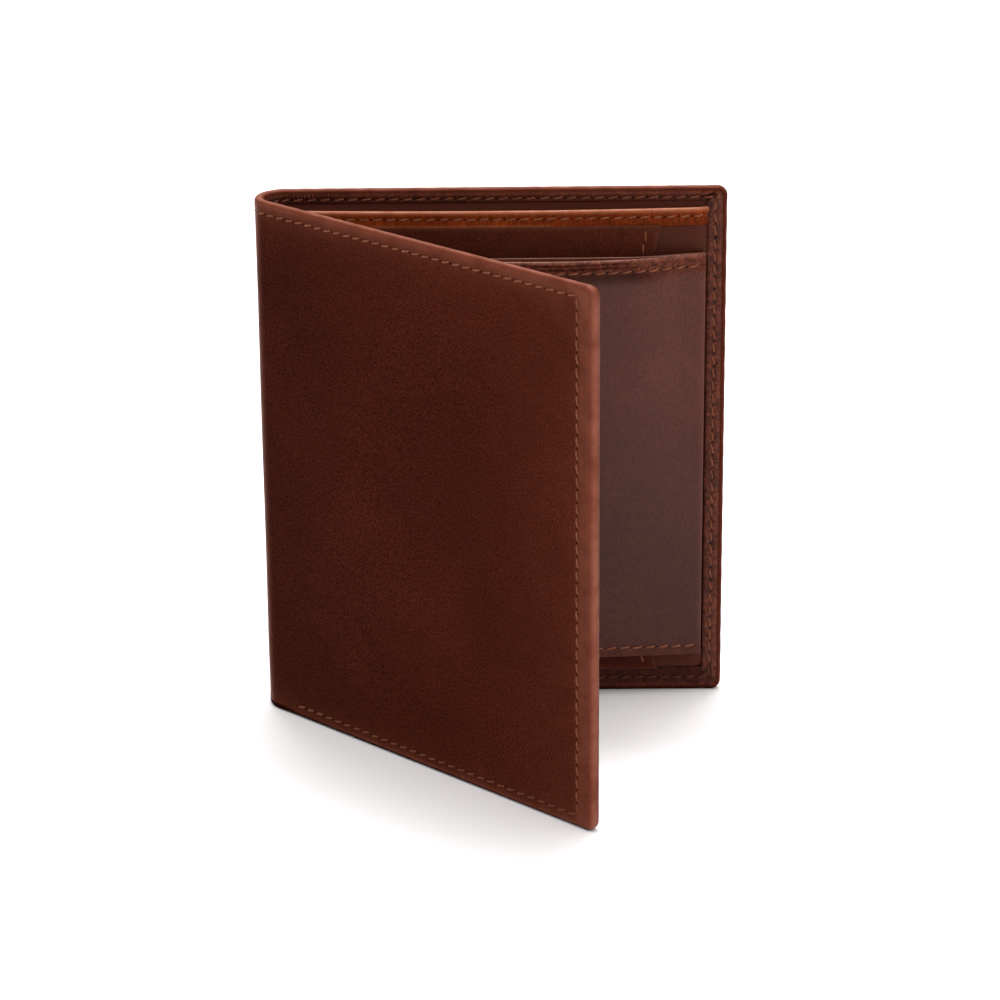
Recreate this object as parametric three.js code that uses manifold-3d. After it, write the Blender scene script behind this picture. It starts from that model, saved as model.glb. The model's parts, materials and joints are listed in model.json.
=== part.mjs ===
// Bifold wallet in upright format, standing half open on its bottom edges.
// Millimetres, +Z up. The origin is on the floor, at the middle of the model's box.
//
// A leaf is described by s, along it from the fold axis to its free edge, by z, up it,
// and by depth, inwards from its outer face. The back leaf lies along +X with its outer
// face towards +Y. The front leaf is built in the same way, mirrored in Y, and then
// turned about the fold axis. The spine between them is an arc about that axis.

import * as THREE from 'three';
import { mergeVertices } from 'three/addons/utils/BufferGeometryUtils.js';
import Module from 'manifold-3d';

// Outside of the wallet
const HEIGHT = 115;
const LEAF = 93;             // fold axis to free edge
const FOLD_RADIUS = 6.6;     // outer face of the rounded spine
const REST_ANGLE = 44;       // between the two leaves as the wallet stands
const CLOSED_ANGLE = 5;      // between them when the leaves lie against each other
const CORNER = 2;            // rounding of the covers' free corners

// The two fold lines run up the spine, each a third of the way round it.
const BEND = (180 - REST_ANGLE) / 4;               // degrees from a leaf to its fold line
const HINGE_DEPTH = 1.4;                           // fold line, in from a leaf's outer face
const HINGE_RADIUS = (FOLD_RADIUS - HINGE_DEPTH) / Math.cos(rad(BEND));
const OPEN_HALF = BEND;                            // half of each fold's travel to flat
const CLOSE_HALF = (REST_ANGLE - CLOSED_ANGLE) / 4; // half of its travel to closed
const FOLD_CLEARANCE = 0.08;                       // extra room beside each fold line

// Layers of a leaf, as depths in from its outer face
const PLY_GAP = 0.05;
const COVER = 1.0;                   // outer leather
const STIFFENER = [COVER + PLY_GAP, 1.4];
const LINING = [1.45, 1.75];         // outer wall of the note compartment
const PANEL = [2.15, 2.75];          // inner wall of the note compartment
const BAND = [2.15, 3.05];           // rolled leather facing along the panel's top
const SLIP_POCKET = [2.8, 3.3];
const ROOT = [2.8, 3.2];             // the flap's edge, sewn down beside the hem
const SLOT_PLY = 0.35;               // leather of a card slot
const TOP_TURN = 1.85;               // hem turned in along the covers' top edges
const SIDE_TURN = 3.0;               // hem turned in over all the layers

// Heights and widths
const TOP_HEM = 3.1;
const BOTTOM_HEM = 5.5;
const SIDE_HEM = { back: 4.2, front: 6.5 };
const SEAM_IN = { back: 2.6, front: 4.3 };   // edge seam, in from the free edge
const SEAM_DOWN_OUTER = 2.6;                 // edge seam, down from the top edge
const SEAM_DOWN_INNER = 2.3;
const SEAM_UP = { back: 3.1, front: 2.2 };   // edge seam, up from the bottom edge
const SEAM_START = 6;                        // the bottom seam stops short of the fold
const INNER_BOTTOM = BOTTOM_HEM + 0.1;       // layers that end against the bottom hem
const INNER_TOP = HEIGHT - TOP_HEM - 0.1;
const BAND_BOTTOM = 106.85;
const BAND_TOP = 110.8;
const BAND_SEAM_DOWN = 1.8;                  // band seam, down from the band's top
const MOUTH = 78.8;                          // ends of the slip pocket's curved mouth
const MOUTH_DIP = 5;                         // how far the mouth curves in
const MOUTH_SEAM = 2.8;                      // its seam, in from the mouth
const SLOT_EDGES = { top: 76, middle: 62, bottom: 48 };
const SLOT_DROP = 42.4;                      // a slot's edge to the bottom of its pocket

// Swing flap with a card pocket between its two leathers
const FLAP_BOTTOM = 9.4;
const FLAP_TOP = 101.3;
const FLAP_LENGTH = 58;
const FLAP_HINGE = { s: 88, depth: 4.3 };
const FLAP_REST = 3;          // degrees that it stands off the back leaf
const FLAP_CORNER = 2.5;
const FLAP_START = 0.3;       // flap leather begins this far from its hinge line
const FLAP_PLY = [0.15, 0.75];
const DIVIDER_HALF = 0.1;
const FLAP_SEAM_DOWN = 2.8;
const FLAP_SEAM_UP = 2.1;

// Sewing thread, as flat runs lying on the leather
const THREAD_WIDTH = 0.6;
const THREAD_LIFT = 0.03;
const THREAD_PROUD = 0.15;

const ARC_STEPS = 10;
const OVERLAP = 0.5;          // joined pieces of one solid share this much

const LEATHER = { color: 0x5a2417, roughness: 0.42, metalness: 0 };
const INNER_LEATHER = { color: 0x6a3322, roughness: 0.38, metalness: 0 };
const BAND_LEATHER = { color: 0x8a4420, roughness: 0.32, metalness: 0 };
const FLAP_LEATHER = { color: 0x6b3a2c, roughness: 0.34, metalness: 0 };
const LINING_CLOTH = { color: 0x33180f, roughness: 0.85, metalness: 0 };
const BOARD = { color: 0x8c7a63, roughness: 0.9, metalness: 0 };
const THREAD = { color: 0x9c5f3c, roughness: 0.6, metalness: 0 };

const wasm = await Module();
wasm.setup();

function rad(degrees) {
  return degrees * Math.PI / 180;
}

// ---- solids ---------------------------------------------------------------

function toSolid(geometry) {
  const bare = geometry.clone();
  bare.deleteAttribute('normal');
  bare.deleteAttribute('uv');
  const merged = mergeVertices(bare, 1e-5);
  return new wasm.Manifold(new wasm.Mesh({
    numProp: 3,
    vertProperties: new Float32Array(merged.attributes.position.array),
    triVerts: new Uint32Array(merged.index.array),
  }));
}

function toGeometry(solid) {
  const mesh = solid.getMesh();
  const geometry = new THREE.BufferGeometry();
  geometry.setAttribute('position', new THREE.BufferAttribute(mesh.vertProperties, 3));
  geometry.setIndex(new THREE.BufferAttribute(mesh.triVerts, 1));
  geometry.computeVertexNormals();
  return geometry;
}

function join(...geometries) {
  return toGeometry(geometries.map(toSolid).reduce((whole, piece) => whole.add(piece)));
}

function trim(geometry, outline) {
  return toGeometry(toSolid(geometry).intersect(toSolid(outline)));
}

// A plan outline raised from z0 to z1.
function rise(shape, z0, z1) {
  const settings = { depth: z1 - z0, bevelEnabled: false, curveSegments: ARC_STEPS };
  return new THREE.ExtrudeGeometry(shape, settings).translate(0, 0, z0);
}

// An outline in s and z, as a flat sheet between two values of y.
function sheet(shape, yLow, yHigh) {
  const settings = { depth: yHigh - yLow, bevelEnabled: false, curveSegments: ARC_STEPS };
  return new THREE.ExtrudeGeometry(shape, settings).rotateX(Math.PI / 2).translate(0, yHigh, 0);
}

// The same sheet on a leaf, between two depths. side is 1 for the back leaf, -1 for the front.
function ply(shape, side, [outer, inner]) {
  const a = side * (FOLD_RADIUS - outer);
  const b = side * (FOLD_RADIUS - inner);
  return sheet(shape, Math.min(a, b), Math.max(a, b));
}

// ---- outlines -------------------------------------------------------------

function rectangle(s0, s1, z0, z1) {
  const shape = new THREE.Shape();
  shape.moveTo(s0, z0);
  shape.lineTo(s1, z0);
  shape.lineTo(s1, z1);
  shape.lineTo(s0, z1);
  return shape;
}

// A rectangle whose two corners at s1 are rounded.
function roundEnded(s0, s1, z0, z1, radius) {
  const shape = new THREE.Shape();
  shape.moveTo(s0, z0);
  shape.lineTo(s1 - radius, z0);
  shape.absarc(s1 - radius, z0 + radius, radius, -Math.PI / 2, 0, false);
  shape.lineTo(s1, z1 - radius);
  shape.absarc(s1 - radius, z1 - radius, radius, 0, Math.PI / 2, false);
  shape.lineTo(s0, z1);
  return shape;
}

// Angle kept clear on each side of a fold line, so that a layer can open and close.
function foldGap([outer, inner]) {
  const rOuter = FOLD_RADIUS - outer;
  const rInner = FOLD_RADIUS - inner;
  const closing = (HINGE_RADIUS - rInner) * Math.tan(rad(CLOSE_HALF)) / rInner;
  const opening = (rOuter - HINGE_RADIUS) * Math.tan(rad(OPEN_HALF)) / rOuter;
  return Math.max(closing, opening) + FOLD_CLEARANCE / rInner;
}

// Plan outline of a layer that runs from sEnd to the fold axis and round to its fold line.
function leafRun(side, layer, sEnd) {
  const [rOuter, rInner] = layer.map((depth) => FOLD_RADIUS - depth);
  const start = side * Math.PI / 2;
  const end = side * (Math.PI / 2 + rad(BEND) - foldGap(layer));
  const shape = new THREE.Shape();
  shape.moveTo(sEnd, side * rOuter);
  shape.lineTo(0, side * rOuter);
  shape.absarc(0, 0, rOuter, start, end, side < 0);
  shape.lineTo(rInner * Math.cos(end), rInner * Math.sin(end));
  shape.absarc(0, 0, rInner, end, start, side > 0);
  shape.lineTo(sEnd, side * rInner);
  return shape;
}

// Plan outline of a layer on the spine, between the two fold lines.
function spineRun(layer) {
  const [rOuter, rInner] = layer.map((depth) => FOLD_RADIUS - depth);
  const gap = foldGap(layer);
  const start = Math.PI / 2 + rad(BEND) + gap;
  const end = Math.PI / 2 + rad(3 * BEND) - gap;
  const shape = new THREE.Shape();
  shape.absarc(0, 0, rOuter, start, end, false);
  shape.lineTo(rInner * Math.cos(end), rInner * Math.sin(end));
  shape.absarc(0, 0, rInner, end, start, true);
  return shape;
}

// ---- covers ---------------------------------------------------------------

// Outer leather of one leaf with its edges turned in, as one solid.
function coverLeaf(side, sideHem) {
  const underTurn = COVER - OVERLAP;
  const whole = join(
    rise(leafRun(side, [0, COVER], LEAF), 0, HEIGHT),
    rise(leafRun(side, [underTurn, TOP_TURN], LEAF), HEIGHT - TOP_HEM, HEIGHT),
    rise(leafRun(side, [underTurn, TOP_TURN], LEAF), 0, BOTTOM_HEM),
    ply(rectangle(0, LEAF, 0, BOTTOM_HEM), side, [underTurn, SIDE_TURN]),
    ply(rectangle(LEAF - sideHem, LEAF, 0, HEIGHT), side, [underTurn, SIDE_TURN]),
  );
  const outline = roundEnded(-2 * FOLD_RADIUS, LEAF, 0, HEIGHT, CORNER);
  return trim(whole, sheet(outline, -2 * FOLD_RADIUS, 2 * FOLD_RADIUS));
}

function coverSpine() {
  const turn = [COVER - OVERLAP, TOP_TURN];
  return join(
    rise(spineRun([0, COVER]), 0, HEIGHT),
    rise(spineRun(turn), HEIGHT - TOP_HEM, HEIGHT),
    rise(spineRun(turn), 0, BOTTOM_HEM),
  );
}

// ---- thread ---------------------------------------------------------------

// Layer of a thread that lies on a face at this depth; outwards is -1 on an outer face.
function threadLayer(depth, outwards) {
  const near = depth + outwards * THREAD_LIFT;
  const far = depth + outwards * (THREAD_LIFT + THREAD_PROUD);
  return [Math.min(near, far), Math.max(near, far)];
}

function threadRow(z) {
  return [z - THREAD_WIDTH / 2, z + THREAD_WIDTH / 2];
}

// Bottom and side runs of the edge seam, ending at the top row.
function edgeCorner(seam, zBottom, zTop) {
  const half = THREAD_WIDTH / 2;
  const shape = new THREE.Shape();
  shape.moveTo(SEAM_START, zBottom - half);
  shape.lineTo(seam + half, zBottom - half);
  shape.lineTo(seam + half, zTop + half);
  shape.lineTo(seam - half, zTop + half);
  shape.lineTo(seam - half, zBottom + half);
  shape.lineTo(SEAM_START, zBottom + half);
  return shape;
}

// Needle thread on a leaf's outer face.
function outerSeam(side, seam, zBottom) {
  const layer = threadLayer(0, -1);
  const zTop = HEIGHT - SEAM_DOWN_OUTER;
  return join(
    rise(leafRun(side, layer, seam), ...threadRow(zTop)),
    ply(edgeCorner(seam, zBottom, zTop), side, layer),
  );
}

// Bobbin thread on a leaf's turned hems. It climbs from the top hem to the thicker side hem.
function innerSeam(side, seam, zBottom, sideHem) {
  const low = threadLayer(TOP_TURN, 1);
  const high = threadLayer(SIDE_TURN, 1);
  const zTop = HEIGHT - SEAM_DOWN_INNER;
  const row = threadRow(zTop);
  const step = LEAF - sideHem - THREAD_LIFT;
  return join(
    rise(leafRun(side, low, step), ...row),
    ply(rectangle(step - THREAD_WIDTH / 2, step, ...row), side, [low[0], high[1]]),
    ply(rectangle(step - THREAD_WIDTH / 2, seam, ...row), side, high),
    ply(edgeCorner(seam, zBottom, zTop), side, high),
  );
}

// ---- pockets --------------------------------------------------------------

// Circle that the slip pocket's mouth follows: it curves in by MOUTH_DIP at mid height.
function mouthArc() {
  const half = (BAND_BOTTOM - INNER_BOTTOM) / 2;
  const radius = (half * half + MOUTH_DIP * MOUTH_DIP) / (2 * MOUTH_DIP);
  return {
    s: MOUTH - MOUTH_DIP + radius,
    z: (BAND_BOTTOM + INNER_BOTTOM) / 2,
    radius,
    half,
  };
}

function slipPocketOutline() {
  const arc = mouthArc();
  const turn = Math.asin(arc.half / arc.radius);
  const shape = new THREE.Shape();
  shape.moveTo(1, INNER_BOTTOM);
  shape.absarc(arc.s, arc.z, arc.radius, Math.PI + turn, Math.PI - turn, true);
  shape.lineTo(1, BAND_BOTTOM - PLY_GAP);
  return shape;
}

function mouthSeamOutline() {
  const arc = mouthArc();
  const inner = arc.radius + MOUTH_SEAM - THREAD_WIDTH / 2;
  const outer = inner + THREAD_WIDTH;
  const turn = Math.asin((arc.half - 1) / outer);
  const shape = new THREE.Shape();
  shape.absarc(arc.s, arc.z, inner, Math.PI + turn, Math.PI - turn, true);
  shape.absarc(arc.s, arc.z, outer, Math.PI - turn, Math.PI + turn, false);
  return shape;
}

// Card slots overlap like shingles, the bottom one nearest the middle of the wallet.
function slotLayer(order) {
  const outer = PANEL[1] + PLY_GAP + order * (SLOT_PLY + PLY_GAP);
  return [outer, outer + SLOT_PLY];
}

// ---- assembly -------------------------------------------------------------

const wallet = new THREE.Group();
const frontLeaf = new THREE.Group();
const flap = new THREE.Group();

function add(parent, name, geometry, look) {
  const mesh = new THREE.Mesh(geometry, new THREE.MeshStandardMaterial(look));
  mesh.name = name;
  parent.add(mesh);
}

const bandSeam = threadRow(BAND_TOP - BAND_SEAM_DOWN);
const bandThread = threadLayer(BAND[1], 1);
const leaves = [
  { name: 'back', side: 1, group: wallet },
  { name: 'front', side: -1, group: frontLeaf },
];

for (const { name, side, group } of leaves) {
  const hem = SIDE_HEM[name];
  const seam = LEAF - SEAM_IN[name];
  const end = LEAF - hem - 0.1;
  const boardOutline = rectangle(1, end - 0.2, BOTTOM_HEM + 0.5, HEIGHT - TOP_HEM - 0.5);
  add(group, `cover_${name}`, coverLeaf(side, hem), LEATHER);
  add(group, `stiffener_${name}`, ply(boardOutline, side, STIFFENER), BOARD);
  add(group, `lining_${name}`, rise(leafRun(side, LINING, end), INNER_BOTTOM, INNER_TOP),
    LINING_CLOTH);
  add(group, `panel_${name}`, rise(leafRun(side, PANEL, end), INNER_BOTTOM,
    BAND_BOTTOM - PLY_GAP), LINING_CLOTH);
  add(group, `band_${name}`, rise(leafRun(side, BAND, end), BAND_BOTTOM, BAND_TOP),
    BAND_LEATHER);
  add(group, `edge_thread_${name}`, outerSeam(side, seam, SEAM_UP[name]), THREAD);
  add(group, `edge_bobbin_${name}`, innerSeam(side, seam, SEAM_UP[name], hem), THREAD);
  add(group, `band_thread_${name}`, rise(leafRun(side, bandThread, end - 1), ...bandSeam),
    THREAD);
}

add(wallet, 'cover_spine', coverSpine(), LEATHER);
add(wallet, 'lining_spine', rise(spineRun(LINING), INNER_BOTTOM, INNER_TOP), LINING_CLOTH);
add(wallet, 'panel_spine', rise(spineRun(PANEL), INNER_BOTTOM, BAND_BOTTOM - PLY_GAP),
  LINING_CLOTH);
add(wallet, 'band_spine', rise(spineRun(BAND), BAND_BOTTOM, BAND_TOP), BAND_LEATHER);
add(wallet, 'edge_thread_spine', rise(spineRun(threadLayer(0, -1)),
  ...threadRow(HEIGHT - SEAM_DOWN_OUTER)), THREAD);
add(wallet, 'edge_bobbin_spine', rise(spineRun(threadLayer(TOP_TURN, 1)),
  ...threadRow(HEIGHT - SEAM_DOWN_INNER)), THREAD);
add(wallet, 'band_thread_spine', rise(spineRun(bandThread), ...bandSeam), THREAD);

add(wallet, 'slip_pocket', ply(slipPocketOutline(), 1, SLIP_POCKET), INNER_LEATHER);
add(wallet, 'slip_thread', ply(mouthSeamOutline(), 1, threadLayer(SLIP_POCKET[1], 1)), THREAD);
add(wallet, 'flap_root', ply(rectangle(LEAF - SIDE_HEM.back - 4.3,
  LEAF - SIDE_HEM.back - 0.1, FLAP_BOTTOM, FLAP_TOP), 1, ROOT), FLAP_LEATHER);

const slotEnd = LEAF - SIDE_HEM.front - 0.1;
Object.entries(SLOT_EDGES).forEach(([name, edge], order) => {
  const outline = rectangle(1, slotEnd, edge - SLOT_DROP, edge);
  add(frontLeaf, `card_slot_${name}`, ply(outline, -1, slotLayer(order)), INNER_LEATHER);
});

// The flap points to -X from its hinge line; +Y is the side that lies on the back leaf.
const flapOutline = roundEnded(FLAP_START, FLAP_LENGTH, FLAP_BOTTOM, FLAP_TOP, FLAP_CORNER);
const dividerOutline = rectangle(1, FLAP_LENGTH - 2, FLAP_BOTTOM + 4, FLAP_TOP - 4);
const flapRows = {
  top: rectangle(1, FLAP_LENGTH - 3, ...threadRow(FLAP_TOP - FLAP_SEAM_DOWN)),
  bottom: rectangle(1, FLAP_LENGTH - 3, ...threadRow(FLAP_BOTTOM + FLAP_SEAM_UP)),
};

// A flap sheet between two distances from the flap's middle, on one side of it.
function flapPly(outline, near, far) {
  return sheet(outline, near, far).rotateZ(Math.PI);
}

const threadNear = FLAP_PLY[1] + THREAD_LIFT;
const threadFar = threadNear + THREAD_PROUD;
add(flap, 'flap_front', flapPly(flapOutline, ...FLAP_PLY), FLAP_LEATHER);
add(flap, 'flap_divider', flapPly(dividerOutline, -DIVIDER_HALF, DIVIDER_HALF), LINING_CLOTH);
add(flap, 'flap_back', flapPly(flapOutline, -FLAP_PLY[1], -FLAP_PLY[0]), FLAP_LEATHER);
for (const [row, outline] of Object.entries(flapRows)) {
  add(flap, `flap_thread_${row}`, flapPly(outline, threadNear, threadFar), THREAD);
  add(flap, `flap_bobbin_${row}`, flapPly(outline, -threadFar, -threadNear), THREAD);
}

flap.position.set(FLAP_HINGE.s, FOLD_RADIUS - FLAP_HINGE.depth, 0);
flap.rotation.z = rad(FLAP_REST);
frontLeaf.rotation.z = rad(-REST_ANGLE);
wallet.add(frontLeaf, flap);

// The middle of the box in plan: from the spine to the back leaf's free edge, and from
// the front leaf's outer corner to the back leaf's outer face.
const proud = FOLD_RADIUS + THREAD_LIFT + THREAD_PROUD;
const frontCorner = -FOLD_RADIUS * Math.cos(rad(REST_ANGLE)) - LEAF * Math.sin(rad(REST_ANGLE));
wallet.position.set(-(LEAF - proud) / 2, -(proud + frontCorner) / 2, 0);

export default new THREE.Group().add(wallet);
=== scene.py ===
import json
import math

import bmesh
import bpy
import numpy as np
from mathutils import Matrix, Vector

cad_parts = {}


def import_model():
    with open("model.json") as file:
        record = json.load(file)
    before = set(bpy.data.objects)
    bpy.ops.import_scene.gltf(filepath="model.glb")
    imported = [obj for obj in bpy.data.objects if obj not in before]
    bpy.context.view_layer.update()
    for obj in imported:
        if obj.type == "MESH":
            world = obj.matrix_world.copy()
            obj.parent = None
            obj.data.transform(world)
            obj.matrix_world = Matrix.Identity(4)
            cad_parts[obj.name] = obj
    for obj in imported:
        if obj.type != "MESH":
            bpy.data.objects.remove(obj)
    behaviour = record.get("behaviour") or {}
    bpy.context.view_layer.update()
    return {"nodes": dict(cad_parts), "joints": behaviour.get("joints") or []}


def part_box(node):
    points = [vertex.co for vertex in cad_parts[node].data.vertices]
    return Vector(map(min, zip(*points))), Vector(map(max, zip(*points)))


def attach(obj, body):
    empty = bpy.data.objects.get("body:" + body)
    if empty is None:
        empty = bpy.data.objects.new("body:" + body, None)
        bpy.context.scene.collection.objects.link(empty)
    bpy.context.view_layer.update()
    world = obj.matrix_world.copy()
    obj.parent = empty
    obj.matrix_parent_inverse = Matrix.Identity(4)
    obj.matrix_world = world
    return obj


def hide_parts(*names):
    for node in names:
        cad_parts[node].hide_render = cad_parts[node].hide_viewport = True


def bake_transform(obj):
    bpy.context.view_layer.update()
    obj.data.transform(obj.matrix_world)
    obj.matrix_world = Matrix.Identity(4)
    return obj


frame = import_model()

# Looks of a leather bifold wallet that stands half open on its bottom edges.
#
# Every sheet of the wallet is laid out flat first, in millimetres: s runs along a leaf from
# the fold axis to its free edge, z up it, and depth in from the leaf's outer face. Below 0, s
# runs round the spine. place() then carries a flat point to the frame, so the back leaf, the
# front leaf and the round of the spine all come from the same code.

MM = 0.001
SAME_POINT = 1e-7  # metres

# ---- driving sizes, from the frame where it has them ----

BACK_LOW, BACK_HIGH = (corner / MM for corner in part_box("cover_back"))
FOLD_RADIUS = 6.6
LEAF = 93.0
HEIGHT = BACK_HIGH.z - BACK_LOW.z
AXIS_X = BACK_HIGH.x - LEAF
AXIS_Y = BACK_HIGH.y - FOLD_RADIUS
FOLD = next(joint for joint in frame["joints"] if joint["name"] == "back_fold")
HALF_TURN = FOLD["range_deg"][1]  # from a leaf to the middle of the spine
REST_ANGLE = 180 - 2 * HALF_TURN
SPINE_MIDDLE = -math.radians(HALF_TURN) * FOLD_RADIUS
CORNER = 2.0
BACK, FRONT = 1, -1
LEAF_BODY = {BACK: "back", FRONT: "front"}

# Layers of a leaf, as depths in from its outer face
HIDE = 1.0  # thickness of the cover's leather
TOP_TURN, SIDE_TURN = 2.0, 2.6  # the cover's edge, with its hem turned in
LINING_DEPTH, PANEL_DEPTH, POCKET_DEPTH = 1.6, 2.45, 3.05
SIDE_HEM = {BACK: 4.2, FRONT: 6.5}
TOP_HEM, BOTTOM_HEM = 3.1, 5.5
BAND_BOTTOM, BAND_TOP = 106.85, 110.8
BAND_SEAM = 109.0
NOTE_GAPE = {BACK: 2.1, FRONT: 0.6}  # how far the empty note compartment stands open
MOUTH, MOUTH_DIP = 78.8, 5.0
SLOTS = {"top": 76.0, "middle": 62.0, "bottom": 48.0}

# Edge seams, as distances from the cover's edges
SEAM_IN = {BACK: 2.6, FRONT: 4.3}
SEAM_UP = {BACK: 3.1, FRONT: 2.6}
SEAM_DOWN = {"outer": 2.6, "inner": 2.3}
SEAM_START = 6.0
PITCH = 2.85  # one stitch
THREAD_RADIUS = 0.22

# Swing flap
FLAP_LOW, FLAP_HIGH = 9.4, 101.3
FLAP_LENGTH = 58.0
FLAP_HINGE_S = 88.0
ROOT_END = 89.6


def smooth(x):
    x = np.clip(x, 0, 1)
    return x * x * (3 - 2 * x)


def bell(x, width):
    """1 where x is 0, falling off to both sides."""
    return np.exp(-((x / width) ** 2))


def place(side, s, z, depth):
    """Points in the row frame, in metres, from flat ones in millimetres."""
    s, z, depth = np.broadcast_arrays(*(np.asarray(v, float) for v in (s, z, depth)))
    radius = FOLD_RADIUS - depth
    turn = np.minimum(s, 0) / FOLD_RADIUS
    x = np.maximum(s, 0) + radius * np.sin(turn)
    y = side * radius * np.cos(turn)
    if side == FRONT:
        a = -math.radians(REST_ANGLE)
        x, y = x * math.cos(a) - y * math.sin(a), x * math.sin(a) + y * math.cos(a)
    return np.stack([x + AXIS_X, y + AXIS_Y, z], -1) * MM


def ripple(s, z, seed, scale):
    """Slow, seeded unevenness of a sheet, from -1 to 1."""
    rng = np.random.default_rng(seed)
    total = np.zeros(np.broadcast(s, z).shape)
    for _ in range(6):
        angle, phase = rng.uniform(0, 2 * math.pi, 2)
        wave = scale * rng.uniform(0.5, 1.6)
        total += np.sin((s * math.cos(angle) + z * math.sin(angle)) * 2 * math.pi / wave + phase)
    return total / 6


# ---- meshes ----


def grid_faces(rows, columns, first=0):
    """Quads between the points of a grid that are numbered from first on, row by row."""
    index = np.arange(rows * columns).reshape(rows, columns) + first
    corners = [index[:-1, :-1], index[1:, :-1], index[1:, 1:], index[:-1, 1:]]
    return np.stack(corners, -1).reshape(-1, 4)


NO_SEAM = (0.5, 99.0, 0.0)  # between two holes, and far from them


def build(name, side, flat, faces, material, seam=None, wear_and_painted_light=None, hem=None, sharp=50.0):
    """An object from flat points. Its attributes tell the materials each point's flat place, its
    place by the nearest seam, its mark (above 0 lighter, from scuffing and painted highlight; below 0
    painted shade), and how far it belongs to crumpled, turned leather."""
    mesh = bpy.data.meshes.new(name)
    flat = np.asarray(flat, float)
    mesh.from_pydata(place(side, *flat.T).tolist(), [], [list(map(int, face)) for face in faces])
    plain = np.zeros(len(flat))
    marks = {
        "flat": flat,
        "seam": plain[:, None] + NO_SEAM if seam is None else seam,
        "wear_and_painted_light": plain if wear_and_painted_light is None else wear_and_painted_light,
        "hem": plain if hem is None else hem,
    }
    for key, values in marks.items():
        kind, field = ("FLOAT_VECTOR", "vector") if np.ndim(values) == 2 else ("FLOAT", "value")
        attribute = mesh.attributes.new(key, kind, "POINT")
        attribute.data.foreach_set(field, np.asarray(values, np.float32).ravel())
    cleaned = bmesh.new()
    cleaned.from_mesh(mesh)
    bmesh.ops.remove_doubles(cleaned, verts=cleaned.verts, dist=SAME_POINT)
    bmesh.ops.dissolve_degenerate(cleaned, edges=cleaned.edges, dist=SAME_POINT / 10)
    bmesh.ops.recalc_face_normals(cleaned, faces=cleaned.faces)
    cleaned.to_mesh(mesh)
    cleaned.free()
    mesh.shade_smooth()
    mesh.set_sharp_from_angle(angle=math.radians(sharp))
    piece = bpy.data.objects.new(name, mesh)
    bpy.context.scene.collection.objects.link(piece)
    mesh.materials.append(material)
    return piece


def across_fold(piece):
    """Bakes the transform of a piece of one leaf into its mesh."""
    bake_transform(piece)
    return piece


def with_flap(piece):
    """Bakes the transform of a piece into its mesh."""
    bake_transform(piece)
    return piece


EDGE_ROWS = (0.03, 0.09, 0.17, 0.28, 0.5)  # rows close to an edge, to round it


def spaced(low, high, step, edge=EDGE_ROWS, fine=None):
    """Values from low to high about a step apart, with extra ones close to both ends and a finer
    stretch up to fine[0] in steps of fine[1]."""
    stops = [low]
    if fine and low < fine[0]:
        stops = list(np.linspace(low, fine[0], max(2, round((fine[0] - low) / fine[1]) + 1)))
    stops += list(np.linspace(stops[-1], high, max(2, round((high - stops[-1]) / step) + 1)))[1:]
    stops += [low + e for e in edge] + [high - e for e in edge]
    return np.array(sorted(set(np.round(stops, 5))))


EDGE_WEAR_REACH = 1.2


def slab(name, side, s, z, depth, thickness, material, bounds=None, cut=False, rounding=0.5,
         seam=None, wear_and_painted_light=None, edge_wear=1.0, hem=None):
    """A closed sheet with rounded edges. s and z are the rows of its grid; depth(s, z) is its middle
    surface; bounds(z) gives its ends in s where they aren't straight. cut leaves the edge at the
    spine square, for the other half to meet. rounding is the most that an edge is rounded, and
    edge_wear how scuffed it is there."""
    S, Z = np.meshgrid(s, z, indexing="ij")
    u = (S - s[0]) / (s[-1] - s[0])
    if bounds is not None:
        low, high = bounds(Z)
        S = low + u * (high - low)
    half = np.broadcast_to(thickness(S, Z) if callable(thickness) else thickness, S.shape) / 2
    ends = [S[-1:] - S, Z - z[0], z[-1] - Z] + ([] if cut else [S - S[:1]])
    margin = np.minimum.reduce(ends)
    reach = np.minimum(half, rounding)
    taper = np.sqrt(np.clip(1 - (1 - np.clip(margin / reach, 0, 1)) ** 2, 0, 1))
    middle = depth(S, Z)
    faces = [middle - half * taper, middle + half * taper]
    flat = np.concatenate([np.stack([S, Z, d], -1).reshape(-1, 3) for d in faces])
    rows, columns = S.shape
    quads = [grid_faces(rows, columns), grid_faces(rows, columns, S.size)]
    if cut:
        lower = np.arange(columns)
        upper = lower + S.size
        quads.append(np.stack([lower[:-1], lower[1:], upper[1:], upper[:-1]], -1))
    flat_s, flat_z = flat[:, 0], flat[:, 1]
    seam_marks = None if seam is None else seam(flat_s, flat_z)
    hem_marks = None if hem is None else hem(flat_s, flat_z)
    # Edges are scuffed lighter. The piece's own marks, with painted highlight above 0 and painted
    # shade below 0, replace that where they are below 0 and add where they are higher.
    wear_and_light_marks = edge_wear * np.tile(1 - smooth(margin / EDGE_WEAR_REACH).ravel(), 2)
    if wear_and_painted_light is not None:
        own = wear_and_painted_light(flat_s, flat_z)
        wear_and_light_marks = np.where(own < 0, own, np.maximum(wear_and_light_marks, own))
    return build(name, side, flat, np.concatenate(quads), material, seam_marks, wear_and_light_marks,
                 hem_marks)


# ---- seams ----


OUT_OF_REACH = 9.0  # further from a seam than any needle hole


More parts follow.
